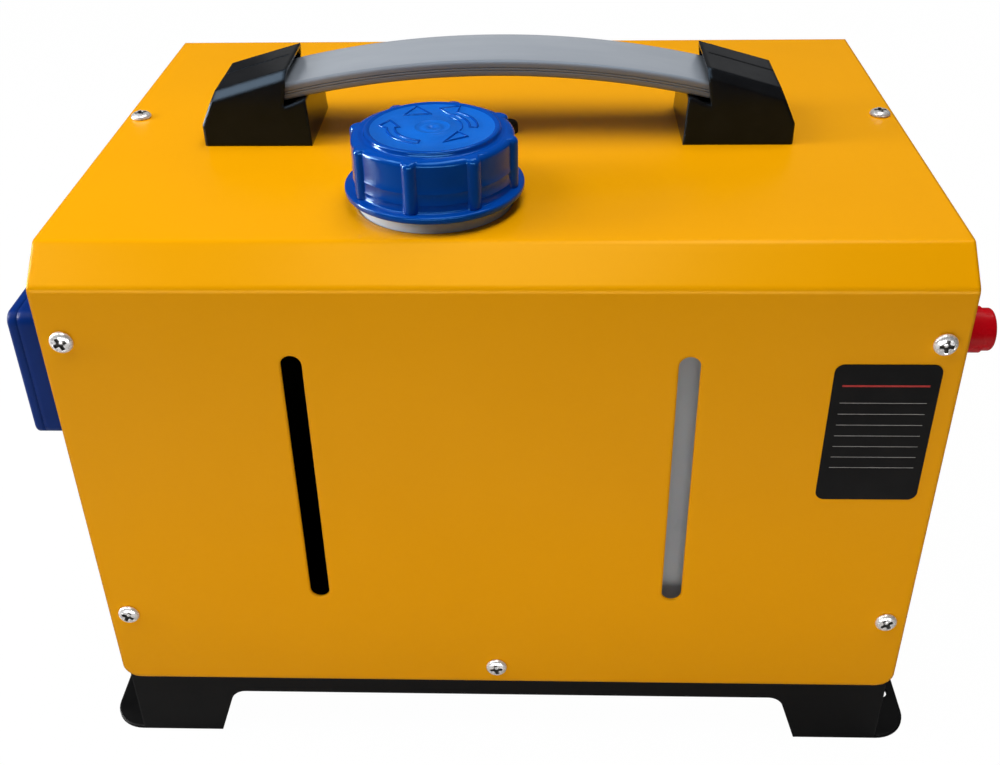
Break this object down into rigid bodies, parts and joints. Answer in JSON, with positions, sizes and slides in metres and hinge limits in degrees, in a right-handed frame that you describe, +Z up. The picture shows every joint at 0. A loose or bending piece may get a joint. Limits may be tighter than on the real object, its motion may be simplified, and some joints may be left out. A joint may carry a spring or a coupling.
{
  "type": "diesel air heater",
  "caption": "Portable diesel air heater in a folded sheet-metal carrying case with built-in fuel tank, blue filler cap, carrying handle, control panel and binding posts.",
  "frame": {"origin": "on the floor, midway between the four mounting holes of the feet", "axes": "+X to the right of someone facing the front, +Y from the front to the back, +Z up"},
  "size_m": [0.4212, 0.2806, 0.3135],
  "materials": {
    "yellow_paint": "semi-gloss powder coat",
    "black_paint": "satin powder coat",
    "zinc_steel": "zinc-plated sheet",
    "screw_steel": "plated steel",
    "screw_plate": "nickel-plated",
    "bright_steel": "machined",
    "heat_steel": "drawn stainless tube",
    "pump_steel": "plated, satin",
    "motor_steel": "satin",
    "cast_aluminium": "as cast",
    "sensor_metal": "satin",
    "brass": "machined",
    "blue_plastic": "semi-gloss moulded",
    "red_plastic": "semi-gloss moulded",
    "grey_plastic": "fine-textured moulded",
    "black_plastic": "gloss moulded",
    "shell_plastic": "moulded, fine texture",
    "tank_plastic": "natural translucent blow-moulded plastic",
    "filter_plastic": "clear moulded",
    "black_rubber": "matte",
    "hose_rubber": "matte extruded",
    "button_rubber": "satin",
    "board_green": "solder mask",
    "display_glass": "polished, smoked",
    "label_film": "satin film, bare"
  },
  "bodies": {
    "case": {"foot_frame": "black_paint", "floor_pan": "black_paint", "left_side_panel": "black_paint", "right_side_panel": "black_paint", "tank_partition": "zinc_steel", "top_cover": "yellow_paint", "cover_screws": "screw_plate", "rating_label": "label_film", "vent_plug": "black_rubber", "handle_grip": "grey_plastic", "handle_strap": "zinc_steel", "handle_end_left": "black_plastic", "handle_end_right": "black_plastic", "handle_bolts": "screw_steel", "fuel_tank": "tank_plastic", "fuel_outlet": "brass", "fuel_filter": "filter_plastic", "pump_body": "pump_steel", "pump_mount": "black_rubber", "feed_hoses": "hose_rubber", "heater_hose": "hose_rubber", "hose_clips": "bright_steel", "heater_lower_shell": "shell_plastic", "heater_upper_shell": "shell_plastic", "intake_cap": "shell_plastic", "heat_exchanger": "cast_aluminium", "burner_tube": "heat_steel", "glow_plug": "bright_steel", "base_gasket": "black_rubber", "heater_bolts": "screw_steel", "exhaust_stub": "heat_steel", "combustion_air_stub": "heat_steel", "blower_housing": "cast_aluminium", "blower_motor": "motor_steel", "control_board": "board_green", "overheat_sensor": "sensor_metal", "outlet_duct": "black_plastic", "outlet_vent_ring": "black_plastic", "controller_back_shell": "blue_plastic", "controller_front_shell": "blue_plastic", "controller_window": "display_glass", "controller_board": "board_green", "positive_post_base": "black_plastic", "negative_post_base": "black_plastic", "post_studs": "brass"},
    "cap_seal": {"cap_seal": "black_rubber"},
    "filler_cap": {"filler_cap": "blue_plastic"},
    "fan_shaft": {"motor_shaft": "bright_steel", "combustion_impeller": "shell_plastic", "heating_fan": "shell_plastic"},
    "pump_plunger": {"pump_plunger": "bright_steel"},
    "outlet_louvre": {"outlet_louvre": "black_plastic"},
    "button_power": {"button_power": "button_rubber"},
    "button_mode": {"button_mode": "button_rubber"},
    "button_down": {"button_down": "button_rubber"},
    "button_up": {"button_up": "button_rubber"},
    "positive_washer": {"positive_post_washer": "brass"},
    "positive_nut": {"positive_post_nut": "red_plastic"},
    "negative_washer": {"negative_post_washer": "brass"},
    "negative_nut": {"negative_post_nut": "black_plastic"}
  },
  "joints": [
    {"name": "cap_rise", "type": "slide", "parent": "case", "child": "cap_seal", "axis": [0, 0, 1], "range_m": [0, 0.024]},
    {"name": "cap_turn", "type": "hinge", "parent": "cap_seal", "child": "filler_cap", "pos_m": [-0.0281, -0.0803, 0.29], "axis": [0, 0, 1], "range_deg": [0, 1440]},
    {"name": "fan_spin", "type": "hinge", "parent": "case", "child": "fan_shaft", "pos_m": [0.07, 0.065, 0.108], "axis": [1, 0, 0], "continuous": true},
    {"name": "pump_stroke", "type": "slide", "parent": "case", "child": "pump_plunger", "axis": [0, 0, 1], "range_m": [0, 0.003], "stiffness_N_per_m": 400},
    {"name": "louvre_turn", "type": "hinge", "parent": "case", "child": "outlet_louvre", "pos_m": [-0.1994, 0.065, 0.108], "axis": [1, 0, 0], "continuous": true},
    {"name": "button_power_press", "type": "slide", "parent": "case", "child": "button_power", "axis": [1, 0, 0], "range_m": [0, 0.001], "stiffness_N_per_m": 600},
    {"name": "button_mode_press", "type": "slide", "parent": "case", "child": "button_mode", "axis": [1, 0, 0], "range_m": [0, 0.001], "stiffness_N_per_m": 600},
    {"name": "button_down_press", "type": "slide", "parent": "case", "child": "button_down", "axis": [1, 0, 0], "range_m": [0, 0.001], "stiffness_N_per_m": 600},
    {"name": "button_up_press", "type": "slide", "parent": "case", "child": "button_up", "axis": [1, 0, 0], "range_m": [0, 0.001], "stiffness_N_per_m": 600},
    {"name": "positive_washer_slide", "type": "slide", "parent": "case", "child": "positive_washer", "axis": [1, 0, 0], "range_m": [0, 0.01]},
    {"name": "positive_nut_turn", "type": "hinge", "parent": "positive_washer", "child": "positive_nut", "pos_m": [0.205, -0.101, 0.222], "axis": [1, 0, 0], "range_deg": [0, 2880]},
    {"name": "negative_washer_slide", "type": "slide", "parent": "case", "child": "negative_washer", "axis": [1, 0, 0], "range_m": [0, 0.01]},
    {"name": "negative_nut_turn", "type": "hinge", "parent": "negative_washer", "child": "negative_nut", "pos_m": [0.205, -0.061, 0.222], "axis": [1, 0, 0], "range_deg": [0, 2880]}
  ],
  "couplings": [
    {"joint": "cap_rise", "follows": "cap_turn", "m_per_rad": 0.00095493},
    {"joint": "positive_washer_slide", "follows": "positive_nut_turn", "m_per_rad": 0.00019894},
    {"joint": "negative_washer_slide", "follows": "negative_nut_turn", "m_per_rad": 0.00019894}
  ]
}
